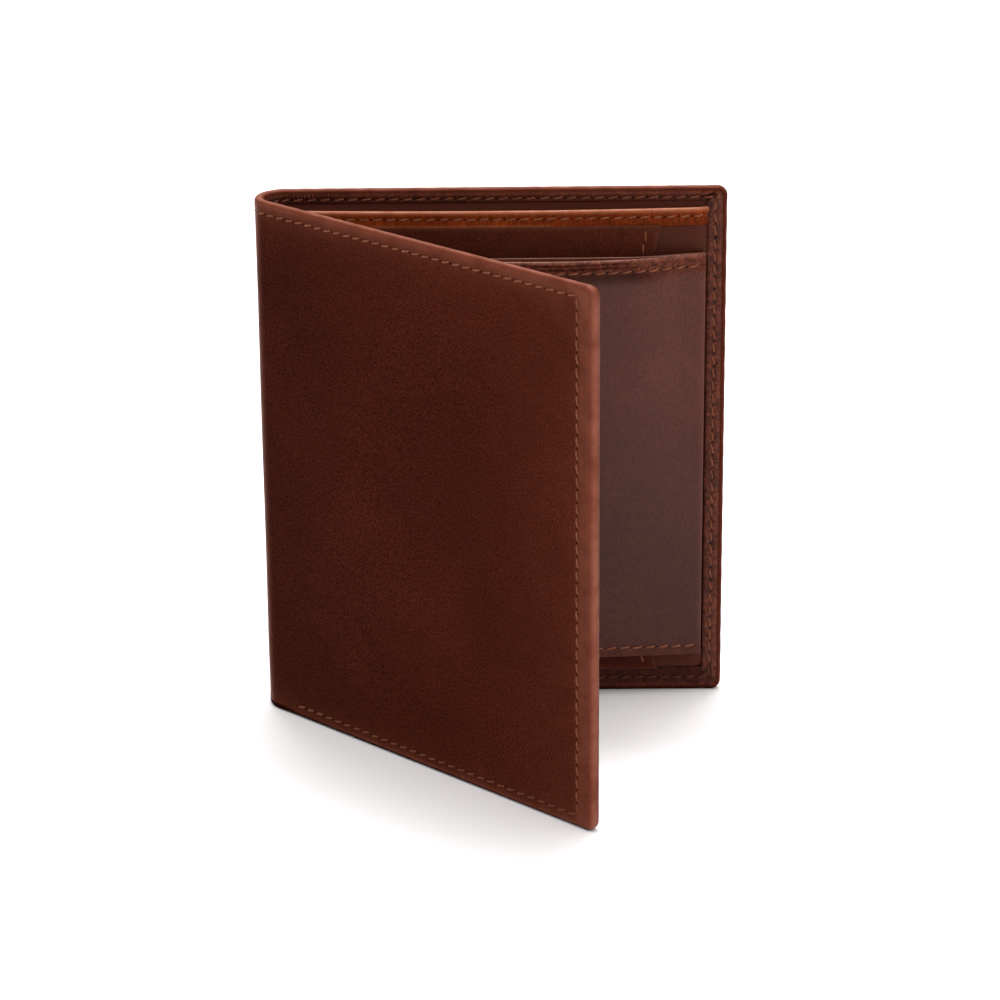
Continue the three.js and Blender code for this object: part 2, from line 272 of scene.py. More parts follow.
class Seam:
    """A row of stitches along straight runs in the flat. Stitch k lies between holes k and k + 1."""

    def __init__(self, points):
        self.points = np.array(points, float)
        lengths = np.linalg.norm(np.diff(self.points, axis=0), axis=1)
        self.counts = np.maximum(1, np.round(lengths / PITCH)).astype(int)
        self.first = np.concatenate([[0], np.cumsum(self.counts)])

    def holes(self):
        ends = zip(self.points, self.points[1:], self.counts)
        runs = [np.linspace(start, end, count, endpoint=False) for start, end, count in ends]
        return np.concatenate(runs + [self.points[-1:]])

    def measure(self, s, z):
        """Per point: place along the seam in stitches, and distance to it in millimetres."""
        best = np.full(np.shape(s), np.inf)
        along = np.zeros(np.shape(s))
        for start, end, count, first in zip(self.points, self.points[1:], self.counts, self.first):
            run = end - start
            from_s, from_z = s - start[0], z - start[1]
            share = np.clip((from_s * run[0] + from_z * run[1]) / (run @ run), 0, 1)
            distance = np.hypot(from_s - share * run[0], from_z - share * run[1])
            nearer = distance < best
            best = np.where(nearer, distance, best)
            along = np.where(nearer, first + share * count, along)
        return along, best

    def attribute(self, s, z):
        along, away = self.measure(s, z)
        return np.stack([along, away, np.zeros_like(away)], -1)

    def groove(self, s, z, depth, width):
        return depth * bell(self.measure(s, z)[1], width)


def off_seam(seam, s, z):
    """Seam marks for points that needle holes don't reach."""
    return seam.attribute(s, z) * [1, 0, 0] + [0, OUT_OF_REACH, 0]


def edge_seam(side, face):
    right = LEAF - SEAM_IN[side]
    low, top = SEAM_UP[side], HEIGHT - SEAM_DOWN[face]
    return Seam([(SEAM_START, low), (right, low), (right, top), (SPINE_MIDDLE, top)])


OUTER_SEAM = {side: edge_seam(side, "outer") for side in LEAF_BODY}
INNER_SEAM = {side: edge_seam(side, "inner") for side in LEAF_BODY}


RING, STEPS, PLIES = 10, 9, 3
STITCH_START, STITCH_RUN = 0.14, 0.72  # what shows of a stitch, as shares of the pitch
SLANT = 0.14  # sideways over its length
RISE, SINK = 0.2, 0.12  # of its middle, and of its ends into the holes
BACKSTITCH_ASIDE = 0.17
TWIST_LENGTH = 1.25


def no_darkening(s, z):
    return np.zeros_like(s)


# Thread darker along the whole row, and more towards the bottom.
def darker_at_bottom(s, z):
    return 0.12 + 0.32 * smooth((8 - z) / 3)


def stitches(name, side, seam, surface, outwards, doubled=(), darkening=no_darkening, seed=1):
    """One twisted, slightly slanted stitch between each two holes, sunk at both ends.
    surface(s, z) is the depth that it lies on, and outwards -1 on a leaf's outer face, 1 inside.
    doubled lists the stitches that are sewn twice."""
    rng = np.random.default_rng(seed)
    holes = seam.holes()
    runs = [(holes[k], holes[k + 1], 0.0) for k in range(len(holes) - 1)]
    runs += [(holes[k], holes[k + 1], BACKSTITCH_ASIDE) for k in doubled]
    across = np.linspace(0, 2 * math.pi, RING, endpoint=False)
    f = np.linspace(0, 1, STEPS)
    full = 0.55 + 0.45 * np.sin(math.pi * np.clip(f, 0.02, 0.98)) ** 0.4
    flat, faces = [], []
    for number, (start, end, aside) in enumerate(runs):
        run = end - start
        length = np.hypot(*run)
        ahead = run / length
        left = np.array([-ahead[1], ahead[0]])
        tilt = SLANT * length * (f - 0.5) + aside + rng.normal(0, 0.025)
        line = start + np.outer(STITCH_START + STITCH_RUN * f, run) + np.outer(tilt, left)
        lift = RISE * np.sin(math.pi * f) ** 0.55 - SINK + rng.normal(0, 0.015)
        twist = PLIES * across - (2 * math.pi * f * length / TWIST_LENGTH)[:, None]
        radius = THREAD_RADIUS * full[:, None] * (1 + 0.13 * np.cos(twist))
        sideways = radius * np.cos(across)
        upwards = radius * np.sin(across)
        points = line[:, None, :] + sideways[:, :, None] * left
        base = surface(line[:, 0], line[:, 1])[:, None]
        depth = base + outwards * (lift[:, None] + 0.8 * upwards)
        flat.append(np.concatenate([points.reshape(-1, 2), depth.reshape(-1, 1)], 1))
        index = np.arange(STEPS * RING).reshape(STEPS, RING) + number * STEPS * RING
        rolled = np.roll(index, -1, 1)
        sides = np.stack([index[:-1], index[1:], rolled[1:], rolled[:-1]], -1)
        faces += sides.reshape(-1, 4).tolist()
        faces += [index[0].tolist(), index[-1].tolist()]
    flat = np.concatenate(flat)
    darkness = darkening(flat[:, 0], flat[:, 1])
    return build(name, side, flat, faces, THREAD, wear_and_painted_light=darkness, sharp=80)


# ---- materials ----


class Shader:
    """A short way to write a material's nodes."""

    def __init__(self, name):
        self.material = bpy.data.materials.new(name)
        self.material.use_nodes = True
        self.tree = self.material.node_tree
        self.surface = self.tree.nodes["Principled BSDF"]

    def put(self, socket, value):
        if isinstance(value, bpy.types.NodeSocket):
            self.tree.links.new(value, socket)
        elif socket.type == "RGBA" and len(value) == 3:
            socket.default_value = (*value, 1)
        else:
            socket.default_value = value

    def node(self, kind, output=0, settings=None, **inputs):
        made = self.tree.nodes.new("ShaderNode" + kind)
        for key, value in (settings or {}).items():
            setattr(made, key, value)
        for key, value in inputs.items():
            name = int(key[1:]) if key[0] == "i" and key[1:].isdigit() else key.replace("_", " ")
            self.put(made.inputs[name], value)
        return made.outputs[output]

    def math(self, operation, a, b=0.0):
        return self.node("Math", settings={"operation": operation}, i0=a, i1=b)

    def plus(self, a, b):
        return self.math("ADD", a, b)

    def minus(self, a, b):
        return self.math("SUBTRACT", a, b)

    def times(self, a, b):
        return self.math("MULTIPLY", a, b)

    def most(self, a, b):
        return self.math("MAXIMUM", a, b)

    def attribute(self, name, output="Vector"):
        return self.node("Attribute", output, {"attribute_name": name})

    def noise(self, scale, detail=3.0, roughness=0.55, vector=None):
        vector = vector or self.attribute("flat")
        return self.node("TexNoise", "Fac", Vector=vector, Scale=scale, Detail=detail,
                         Roughness=roughness)

    def band(self, value, low, high, to_low=0.0, to_high=1.0):
        return self.node("MapRange", 0, {"interpolation_type": "SMOOTHSTEP"}, Value=value,
                         From_Min=low, From_Max=high, To_Min=to_low, To_Max=to_high)

    def mix(self, share, a, b, blend="MIX"):
        settings = {"data_type": "RGBA", "blend_type": blend}
        return self.node("Mix", 2, settings, i0=share, i6=a, i7=b)

    def shaded(self, colour, factor):
        """The colour times a grey factor."""
        grey = self.node("CombineColor", Red=factor, Green=factor, Blue=factor)
        return self.mix(1.0, colour, grey, "MULTIPLY")

    def stretched(self, scale):
        return self.node("Mapping", Vector=self.attribute("flat"), Scale=scale)

    def along_flat(self, axis):
        """Flat s (0), z (1) or depth (2), in millimetres."""
        return self.node("SeparateXYZ", axis, i0=self.attribute("flat"))

    def needle_holes(self):
        """1 in a needle hole and 0 away from it, from the seam attribute."""
        parts = self.node("SeparateXYZ", 0, i0=self.attribute("seam"))
        away = parts.node.outputs[1]
        nearest = self.math("PINGPONG", parts, 0.5)
        along = self.times(nearest, PITCH)
        squares = self.plus(self.math("POWER", along, 2), self.math("POWER", away, 2))
        return self.band(self.math("SQRT", squares), 0.1, 0.27, 1, 0)

    def finish(self, **inputs):
        """Puts these into the surface. Returns the material."""
        for key, value in inputs.items():
            self.put(self.surface.inputs[key.replace("_", " ")], value)
        return self.material

    def bumpy(self, colour, roughness, height, distance, specular):
        normal = self.node("Bump", Height=height, Distance=distance)
        return self.finish(Base_Color=colour, Roughness=roughness, Normal=normal,
                           Specular_IOR_Level=specular)


HOLE_COLOUR = (0.012, 0.003, 0.0015)
# Near-black colour of painted shade, where the marks are below 0.
SHADE_COLOUR = (0.004, 0.002, 0.001)
GRAIN = 2.4  # cells of the leather's grain, per millimetre


def leather(name, dark, light, edge, gloss, specular, relief=1.0, hem_specular=0.16, cloud=0.022,
            fold_shade=1.0, low_shade=1.0, uneven=0.45, streak=1.0):
    """Smooth, hand-finished calf leather: clouded colour, fine pores and creases, crumpled hems with
    painted shade and highlight on their crumples, and scuffed edges with painted highlight. Marks
    below
    0 paint shade onto it. fold_shade and low_shade below 1 paint shade onto it near the fold and at
    the bottom. uneven is its speckle's contrast, and streak below 1 draws that out upwards."""
    sh = Shader(name)
    clouds = sh.band(sh.noise(cloud, 4, 0.6), 0.36, 0.66)
    mottle = sh.band(sh.noise(0.35, 5, 0.65), 0.3, 0.75)
    colour = sh.mix(clouds, dark, light)
    colour = sh.mix(sh.times(mottle, 0.35), colour, tuple(0.62 * c for c in dark))
    speckle = sh.noise(2.1, 4, 0.8, sh.stretched((1.0, streak, 1.0)))
    colour = sh.shaded(colour, sh.band(speckle, 0.25, 0.75, 1 - uneven, 1 + uneven))
    # Painted shade: darker towards the bottom (low_shade) and near the fold (fold_shade).
    colour = sh.shaded(colour, sh.band(sh.along_flat(1), 5, 80, low_shade, 1.0))
    colour = sh.shaded(colour, sh.band(sh.along_flat(0), 4, 30, fold_shade, 1.0))

    # Marks above 0 mix in the lighter edge colour, in patches: scuffed edges, and painted highlight on
    # ridges, rolls and turned edges.
    wear_and_painted_light = sh.attribute("wear_and_painted_light", "Fac")
    patchy = sh.band(sh.noise(0.2, 4), 0.2, 0.7, 0.55, 1.0)
    worn_and_lit = sh.times(sh.most(wear_and_painted_light, 0.0), patchy)
    colour = sh.mix(worn_and_lit, colour, edge)

    hem = sh.attribute("hem", "Fac")
    # Painted shade and highlight on the crumpled hems: darker in the hollows of the crumple noise that
    # also raises their bump, lighter on its crests and along thin veins.
    crumple = sh.noise(0.9, 5, 0.75)
    from_vein = sh.math("ABSOLUTE", sh.minus(sh.noise(0.5, 3, 0.6), 0.5))
    veins = sh.band(from_vein, 0.0, 0.03, 0.8, 0.0)
    crumpled = sh.plus(sh.band(crumple, 0.33, 0.67, 0.38, 1.35), veins)
    colour = sh.mix(hem, colour, sh.shaded(colour, crumpled))

    # Marks below 0 paint shade, near-black and matt: the contact shadow under the bottom edges, and
    # the shade in creases and in the gap under the hem.
    painted_shade = sh.most(sh.times(wear_and_painted_light, -0.85), 0.0)
    colour = sh.mix(painted_shade, colour, SHADE_COLOUR)
    flat = sh.attribute("flat")
    cells = sh.node("TexVoronoi", "Distance", {"feature": "SMOOTH_F1"}, Vector=flat, Scale=GRAIN,
                    Smoothness=0.6)
    pores = sh.node("TexVoronoi", "Distance", Vector=flat, Scale=GRAIN * 0.55)
    pore = sh.band(pores, 0.05, 0.2, 1, 0)
    colour = sh.mix(sh.times(pore, 0.35), colour, tuple(0.3 * c for c in dark))
    holes = sh.needle_holes()
    colour = sh.mix(sh.times(holes, 0.85), colour, HOLE_COLOUR)

    crease = sh.noise(1.0, 6, 0.7, sh.stretched((0.8, 0.45, 0.6)))
    height = sh.plus(sh.times(cells, 0.5), sh.times(crease, 0.8))
    height = sh.minus(height, sh.times(pore, 0.35))
    height = sh.plus(height, sh.times(sh.times(crumple, hem), 7.0))
    height = sh.minus(height, sh.times(holes, 6.0))
    rough = sh.plus(gloss, sh.times(sh.noise(0.6, 4), 0.16))
    rough = sh.plus(rough, sh.times(holes, 0.3))
    # No shine where shade is painted.
    unshaded = sh.minus(1.0, sh.most(sh.times(wear_and_painted_light, -1.0), 0.0))
    rubbed_and_lit = sh.times(sh.math("POWER", worn_and_lit, 2.0), 0.32)
    shine = sh.plus(specular, rubbed_and_lit)
    shine = sh.plus(shine, sh.times(hem, hem_specular))
    shine = sh.most(sh.times(shine, unshaded), 0.0)
    return sh.bumpy(colour, rough, height, 0.00004 * relief, shine)


def cloth(name, dark, light, across, along, gloss=0.6, specular=0.1):
    """Fine woven lining: ribs across the leaf and a closer set up it, at these wave scales."""
    sh = Shader(name)
    flat = sh.attribute("flat")
    ribs = sh.node("TexWave", "Fac", {"bands_direction": "Y"}, Vector=flat, Scale=across,
                   Distortion=0.25, Detail=2.0)
    warp = sh.node("TexWave", "Fac", {"bands_direction": "X"}, Vector=flat, Scale=along,
                   Distortion=0.2, Detail=1.0)
    weave = sh.plus(sh.times(ribs, 0.65), sh.times(warp, 0.35))
    colour = sh.mix(weave, dark, light)
    faded = sh.band(sh.noise(0.08, 4), 0.35, 0.7)
    colour = sh.mix(sh.times(faded, 0.4), colour, dark)
    holes = sh.needle_holes()
    colour = sh.mix(sh.times(holes, 0.9), colour, (0.006, 0.002, 0.001))
    height = sh.minus(weave, sh.times(holes, 4.0))
    return sh.bumpy(colour, gloss, height, 0.00003, specular)


def pulp_board(name, dark, light):
    """Grey board of the stiffeners: matt, with short fibres in it."""
    sh = Shader(name)
    fibres = sh.noise(900.0, 6, 0.8, sh.node("TexCoord", "Object"))
    colour = sh.mix(sh.band(fibres, 0.3, 0.7), dark, light)
    return sh.bumpy(colour, 0.9, fibres, 0.00005, 0.1)


def waxed_thread(name, dark, light):
    """Twisted thread: fibres along it, darker stretches, and darker still where its marks are above 0.
    """
    sh = Shader(name)
    fibres = sh.noise(3.0, 5, 0.7, sh.stretched((1.0, 1.0, 2.0)))
    colour = sh.mix(sh.band(fibres, 0.3, 0.7), dark, light)
    stretches = sh.band(sh.noise(0.15, 2), 0.4, 0.7)
    colour = sh.mix(sh.times(stretches, 0.5), colour, dark)
    # Marks above 0 darken the thread: painted shade on the inner hems, and a darker tone along the
    # rows, more towards the bottom.
    colour = sh.mix(sh.attribute("wear_and_painted_light", "Fac"), colour, tuple(0.42 * c for c in dark))
    return sh.bumpy(colour, 0.6, fibres, 0.00003, 0.08)


COVER_LEATHER = leather("cover_leather", dark=(0.041, 0.0070, 0.0029), light=(0.055, 0.0096, 0.0041),
                        edge=(0.23, 0.056, 0.026), gloss=0.45, specular=0.009, uneven=0.85,
                        fold_shade=0.78)
POCKET_LEATHER = leather("pocket_leather", dark=(0.061, 0.0130, 0.0064), light=(0.080, 0.0180, 0.0093),
                         edge=(0.114, 0.032, 0.017), gloss=0.36, specular=0.014, low_shade=0.72)
FLAP_LEATHER = leather("flap_leather", dark=(0.073, 0.0155, 0.0080), light=(0.098, 0.0215, 0.0112),
                       edge=(0.171, 0.05, 0.026), gloss=0.30, specular=0.21, relief=0.45,
                       low_shade=0.65, uneven=0.34, streak=0.5, hem_specular=-0.17)
BAND_LEATHER = leather("band_leather", dark=(0.15, 0.0225, 0.0046), light=(0.20, 0.0335, 0.0069),
                       edge=(0.34, 0.108, 0.044), gloss=0.28, specular=0.02, cloud=0.05, uneven=0.6,
                       streak=0.3)
LINING_CLOTH = cloth("lining_cloth", (0.071, 0.017, 0.0086), (0.10, 0.023, 0.012), 0.9, 1.3)
PANEL_CLOTH = cloth("panel_cloth", (0.056, 0.0144, 0.0076), (0.081, 0.0214, 0.0112), 0.45, 0.9,
                    gloss=0.45, specular=0.05)
GREYBOARD = pulp_board("grey_board", (0.20, 0.16, 0.11), (0.34, 0.28, 0.21))
THREAD = waxed_thread("sewing_thread", (0.146, 0.043, 0.020), (0.295, 0.108, 0.057))


# ---- covers ----

FACE_INSET = 7.0  # the outer face's plain grid starts this far in
FACE_INSETS = (FACE_INSET, 6.4, 5.8, 5.3, 4.9, 4.6, 4.3, 4.0, 3.7, 3.4, 3.1,
               2.85, 2.6, 2.35, 2.1, 1.85, 1.6)
CORNER_STEPS = 10
ROLL_STEPS = 11
HEM_STEPS = 15
HEM_START = 1.3  # where the hem's flat part starts, from the edge
HEM_FOOT = 0.08  # the foot of the hem's cut edge lies this much further in than its top
SQUARENESS = 0.8  # of the turned edge: 1 is round, less is squarer
MOST_RUBBED = 0.36  # share of the way over the turned edge
BOTTOM_RUN, LOW_CORNER, SIDE_RUN, HIGH_CORNER, TOP_RUN = range(5)


def nodes_of(part, side):
    """The nodes that one leaf's half of a part stands for. The back half has the spine's as well."""
    spine = [f"{part}_spine"] if side == BACK else []
    return [f"{part}_{LEAF_BODY[side]}"] + spine


def hem_edge(side):
    """Where the side hem's cut edge lies, in s."""
    return LEAF - SIDE_HEM[side]


class CoverOutline:
    """Stations along the cover's edge: along the bottom from the spine's middle, round the corner,
    up the free edge, round the other corner and back along the top."""

    def __init__(self):
        along = spaced(SPINE_MIDDLE, LEAF - FACE_INSET, 1.0, edge=(), fine=(16.0, 0.25))
        up = spaced(FACE_INSET, HEIGHT - FACE_INSET, 1.0, edge=())
        self.along = (along - along[0]) / (along[-1] - along[0])
        self.up = (up - up[0]) / (up[-1] - up[0])
        self.turn = np.linspace(0, math.pi / 2, CORNER_STEPS + 1)[1:-1]
        run, rise, corner = len(along), len(up), len(self.turn)
        self.parts = np.repeat([BOTTOM_RUN, LOW_CORNER, SIDE_RUN, HIGH_CORNER, TOP_RUN],
                               [run, corner, rise, corner, run])
        swing = self.turn / (math.pi / 2)
        self.blend_up = np.concatenate(
            [np.zeros(run), swing, np.ones(rise), 1 - swing, np.zeros(run)])

    def ring(self, right, bottom, top):
        """Flat s and z of every station, set in from the three edges by these amounts."""
        low = np.maximum(CORNER - np.minimum(right, bottom), 0)
        high = np.maximum(CORNER - np.minimum(right, top), 0)
        low_s, low_z = LEAF - right - low, bottom + low
        high_s, high_z = LEAF - right - high, HEIGHT - top - high
        s = np.concatenate([
            SPINE_MIDDLE + self.along * (low_s - SPINE_MIDDLE),
            low_s + low * np.sin(self.turn),
            np.full(len(self.up), LEAF - right),
            high_s + high * np.cos(self.turn),
            (SPINE_MIDDLE + self.along * (high_s - SPINE_MIDDLE))[::-1],
        ])
        z = np.concatenate([
            np.full(len(self.along), bottom),
            low_z - low * np.cos(self.turn),
            low_z + self.up * (high_z - low_z),
            high_z + high * np.sin(self.turn),
            np.full(len(self.along), HEIGHT - top),
        ])
        return s, z

    def inwards(self):
        """The direction in s and z, of length 1, that leads in from the edge at every station."""
        edge_s, edge_z = self.ring(0.0, 0.0, 0.0)
        inner_s, inner_z = self.ring(CORNER, CORNER, CORNER)
        ahead_s, ahead_z = inner_s - edge_s, inner_z - edge_z
        reach = np.hypot(ahead_s, ahead_z)
        on_run = np.isin(self.parts, (BOTTOM_RUN, TOP_RUN))
        on_side = self.parts == SIDE_RUN
        inward_s = np.select([on_run, on_side], [0.0, -1.0], ahead_s / reach)
        inward_z = np.select([on_run, on_side], [np.sign(ahead_z), 0.0], ahead_z / reach)
        return inward_s, inward_z

    def edge_thickness(self, s):
        """Thickness of the turned edge at each station."""
        more = SIDE_TURN - TOP_TURN
        places = [self.parts == BOTTOM_RUN, self.parts == TOP_RUN, self.parts == HIGH_CORNER]
        values = [TOP_TURN + more * smooth(s / 6), TOP_TURN, TOP_TURN + more * self.blend_up]
        return np.select(places, values, SIDE_TURN)


def outer_depth(side, s, z):
    """Depth of a leaf's outer face: sunk along its seam and along a crease beside the free edge,
    plump between the two, and a little uneven."""
    away = np.minimum.reduce([LEAF - s, z, HEIGHT - z])
    crease = 0.05 * bell(LEAF - s - 1.9 - 0.1 * np.sin(z / 3), 0.22)
    groove = OUTER_SEAM[side].groove(s, z, 0.07, 0.5) + crease
    plump = 0.07 * bell(away - 1.4, 0.7)
    swell = 0.10 * ripple(s, z, 11 + side, 60) * smooth((away - 3) / 12)
    return groove - plump + swell + 0.05


def outer_wear_and_light(side, s, z):
    """How much lighter the outer face is towards its edges, most beside the free edge: scuffed edges,
    with painted highlight along the top ridge, the bottom edge and round the spine, and a painted
    gradient that brightens towards the free edge.
    """
    from_side, from_ends = LEAF - s, np.minimum(z, HEIGHT - z)
    strip = 0.27 * smooth((SEAM_IN[side] + 1.0 - from_side) / 2.1)
    strip = strip + 0.60 * np.exp(-(HEIGHT - z) / 2.2) + 0.42 * np.exp(-z / 1.9)
    strip = strip + 0.62 * smooth((-s - 0.5) / 4.5)
    return np.clip(strip + 0.21 * np.exp(-from_side / 13) + 0.06 * np.exp(-from_ends / 9), 0, 0.6)


def wrinkles(s, z):
    """Gathers of the turned top edge where it goes round the spine, from -1 to 1."""
    near_fold = smooth((14 - s) / 9) * smooth(z - HEIGHT + TOP_HEM + 1)
    lean = 0.5 * np.sin(s * 1.9) * (HEIGHT - z)
    return near_fold * np.sin(s * 2 * math.pi / 0.72 + 1.7 * np.sin(s * 0.9) + lean)


def pleats(s, z):
    """Gathers of the hem at its corners, from -1 to 1."""
    from_middle = np.abs(z - HEIGHT / 2)
    corner = np.hypot(s - (LEAF - CORNER), from_middle - (HEIGHT / 2 - CORNER))
    turned = np.arctan2(from_middle - (HEIGHT / 2 - 4.5), s - (LEAF - 4.5))
    return smooth((5.0 - corner) / 3.0) * smooth(corner / 1.2) * np.cos(turned * 13)


def turned_wear_and_light(parts, s, z, turned):
    """How light the turned edge is, turned from its outer (0) to its inner side (1): scuffed, with a
    painted highlight that peaks part way over. Its top run gets painted highlight on top as well, and
    what it stands on gets painted contact shadow."""
    if turned < MOST_RUBBED:
        rubbed_and_lit = 0.5 + 0.5 * smooth(turned / MOST_RUBBED)
    else:
        rubbed_and_lit = bell(turned - MOST_RUBBED, 0.34)
    on_top = max(bell(turned - 0.5, 0.3), 0.62 * (1 - turned))
    rubbed_and_lit = np.where(parts == TOP_RUN, on_top, rubbed_and_lit)
    stands = np.isin(parts, (BOTTOM_RUN, LOW_CORNER))
    painted_shade = np.where(stands, smooth((1.0 - 0.4 * s / LEAF - z) / 0.35), 0)
    return rubbed_and_lit * (1 - painted_shade) - painted_shade


class CoverShape:
    """Points and faces of one leaf's outer leather. They come in rings, from the outer face over
    the turned edge to the hem's cut edge, and then as a plain grid inside each end of them."""

    def __init__(self, side):
        self.side = side
        self.outline = CoverOutline()
        self.edge_s, self.edge_z = self.outline.ring(0.0, 0.0, 0.0)
        self.thickness = self.outline.edge_thickness(self.edge_s)
        self.flat, self.seam, self.wear_and_painted_light, self.hem = [], [], [], []

    def add(self, s, z, depth, seam, wear_and_painted_light, hem=0.0):
        """The points of one ring or grid, with the marks that build() takes."""
        self.flat.append(np.stack([s, z, np.broadcast_to(depth, s.shape)], -1))
        self.seam.append(seam)
        self.wear_and_painted_light.append(np.broadcast_to(wear_and_painted_light, s.shape))
        self.hem.append(np.broadcast_to(hem, s.shape))

    def add_outer(self, s, z):
        """Points of the outer face."""
        depth = outer_depth(self.side, s, z)
        self.add(s, z, depth, OUTER_SEAM[self.side].attribute(s, z), outer_wear_and_light(self.side, s, z))

    def add_turned_edge(self):
        """The edge, turned over in a half circle."""
        inward_s, inward_z = self.outline.inwards()
        radius = self.thickness / 2
        for angle in np.linspace(0, math.pi, ROLL_STEPS + 2)[1:-1]:
            inset = radius * (1 - math.sin(angle) ** SQUARENESS)
            s, z = self.edge_s + inward_s * inset, self.edge_z + inward_z * inset
            depth = radius * (1 - math.copysign(abs(math.cos(angle)) ** SQUARENESS, math.cos(angle)))
            uneven = 0.03 * np.sin(s * 1.3) * np.sin(z * 1.1) * math.sin(angle)
            self.add(s + inward_s * uneven, z + inward_z * uneven, depth,
                     off_seam(OUTER_SEAM[self.side], s, z),
                     turned_wear_and_light(self.outline.parts, s, z, angle / math.pi))

    def add_hem(self):
        """The hem on the inside, gathered and uneven, out to its cut edge."""
        seam = INNER_SEAM[self.side]
        widths = (SIDE_HEM[self.side], BOTTOM_HEM, TOP_HEM)
        on_side = smooth((self.edge_s - LEAF + CORNER + 0.5) / CORNER)
        for share in np.linspace(0, 1, HEM_STEPS):
            s, z = self.outline.ring(*(HEM_START + share * (width - HEM_START) for width in widths))
            away = smooth(share / 0.2)
            gathered = 0.12 * wrinkles(s, z) + 0.13 * pleats(s, z)
            depth = self.thickness - seam.groove(s, z, 0.12, 0.45) + gathered * away
            depth = depth - 0.18 * smooth((share - 0.86) / 0.14) + 0.09 * ripple(s, z, 17, 2.4) * away
            # Painted shade in the gathers' hollows and painted highlight on their crests.
            creased = 4.0 * np.minimum(gathered, 0) + 1.5 * np.maximum(gathered, 0)
            # Lighter on the side hem and towards the turned edge, from scuffing and painted highlight.
            rubbed_and_lit = 0.18 * on_side * away + 0.3 * smooth((0.3 - share) / 0.3)
            # Painted shade along the bottom hem.
            at_bottom = 0.22 * smooth((BOTTOM_HEM + 1 - z) / 2)
            self.add(s, z, depth, seam.attribute(s, z), rubbed_and_lit + 0.1 - at_bottom + creased,
                     0.55 + 0.45 * on_side)

    def add_cut_edge(self):
        """The hem's cut edge, down to the inner side of the plain leather."""
        for extra, depth in ((0.06, self.thickness - 0.45), (HEM_FOOT, HIDE)):
            s, z = self.outline.ring(SIDE_HEM[self.side] + extra, BOTTOM_HEM + extra, TOP_HEM + extra)
            self.add(s, z, depth, off_seam(INNER_SEAM[self.side], s, z), 0.0)

    def middle(self, right, bottom, top):
        """Flat s and z of a plain grid, set in by these amounts, and the faces that it gets."""
        s = SPINE_MIDDLE + self.outline.along * (LEAF - right - SPINE_MIDDLE)
        z = bottom + self.outline.up * (HEIGHT - top - bottom)
        S, Z = np.meshgrid(s, z, indexing="ij")
        return S.ravel(), Z.ravel(), grid_faces(len(s), len(z), sum(map(len, self.flat)))

    def close(self):
        """Adds the two plain grids. Returns all faces, with the square cut at the middle of the
        spine, where the other half meets this one."""
        rings, stations = len(self.flat), len(self.outline.parts)
        s, z, outer_faces = self.middle(FACE_INSET, FACE_INSET, FACE_INSET)
        self.add_outer(s, z)
        widths = (SIDE_HEM[self.side], BOTTOM_HEM, TOP_HEM)
        s, z, inner_faces = self.middle(*(width + HEM_FOOT for width in widths))
        self.add(s, z, HIDE, OUTER_SEAM[self.side].attribute(s, z), 0.0)
        first = np.arange(rings) * stations
        last = first + stations - 1
        rows_up = len(self.outline.up)
        outer_column = rings * stations + np.arange(rows_up)
        inner_column = outer_column + len(self.outline.along) * rows_up
        cut = [*first, *inner_column[1:-1], *last[::-1], *outer_column[::-1][1:-1]]
        grids = [grid_faces(rings, stations), outer_faces, inner_faces]
        return [face for grid in grids for face in grid.tolist()] + [cut]


def cover(side):
    """Outer leather from the middle of the spine to the free edge, with its hems turned in."""
    shape = CoverShape(side)
    for inset in FACE_INSETS:
        shape.add_outer(*shape.outline.ring(inset, inset, inset))
    shape.add_turned_edge()
    shape.add_hem()
    shape.add_cut_edge()
    faces = shape.close()
    piece = build(f"cover_{LEAF_BODY[side]}_leather", side, np.concatenate(shape.flat), faces,
                  COVER_LEATHER, np.concatenate(shape.seam),
                  np.concatenate(shape.wear_and_painted_light), np.concatenate(shape.hem), sharp=55)
    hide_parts(*nodes_of("cover", side))
    across_fold(piece)


def edge_thread(side):
    """The needle side of the edge seam, on the outer face."""
    thread = stitches(f"edge_thread_{LEAF_BODY[side]}_row", side, OUTER_SEAM[side],
                      lambda s, z: outer_depth(side, s, z), -1, doubled=(0, 1, 2),
                      darkening=darker_at_bottom, seed=20 + side)
    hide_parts(*nodes_of("edge_thread", side))
    across_fold(thread)


def edge_bobbin(side):
    """The bobbin side of the edge seam, on the hem."""
    def surface(s, z):
        on_side = smooth((s - (hem_edge(side) - 1)) / 1.5)
        at_bottom = smooth(BOTTOM_HEM + 1 - z) * smooth(s / 6)
        deep = np.maximum(on_side, at_bottom)
        return TOP_TURN + (SIDE_TURN - TOP_TURN) * deep - 0.12

    def darkening(s, z):
        # Painted shade on the bobbin thread inside the leaf: darker on the top hem and towards the
        # bottom.
        on_top_hem = 0.35 * smooth(z - HEIGHT + TOP_HEM + 1)
        return darker_at_bottom(s, z) + on_top_hem + 0.3 * smooth((8 - z) / 3)

    thread = stitches(f"edge_bobbin_{LEAF_BODY[side]}_row", side, INNER_SEAM[side], surface, 1,
                      darkening=darkening, seed=30 + side)
    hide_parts(*nodes_of("edge_bobbin", side))
    across_fold(thread)


# ---- note compartment ----


def note_gape(s, z, side):
    """How far the panel stands off, bowed between the fold and the hem, most at its top."""
    bow = np.sin(math.pi * np.clip(s / hem_edge(side), 0, 1)) ** 0.6
    return NOTE_GAPE[side] * bow * smooth((z - 30) / 80)


def panel_depth(side, s, z):
    """Depth of the panel. Its end dives under the side hem."""
    tucked = -0.55 * smooth((s - (hem_edge(side) - 1.5)) / 1.5)
    return PANEL_DEPTH + note_gape(s, z, side) + tucked + 0.06 * ripple(s, z, 5 + side, 30)


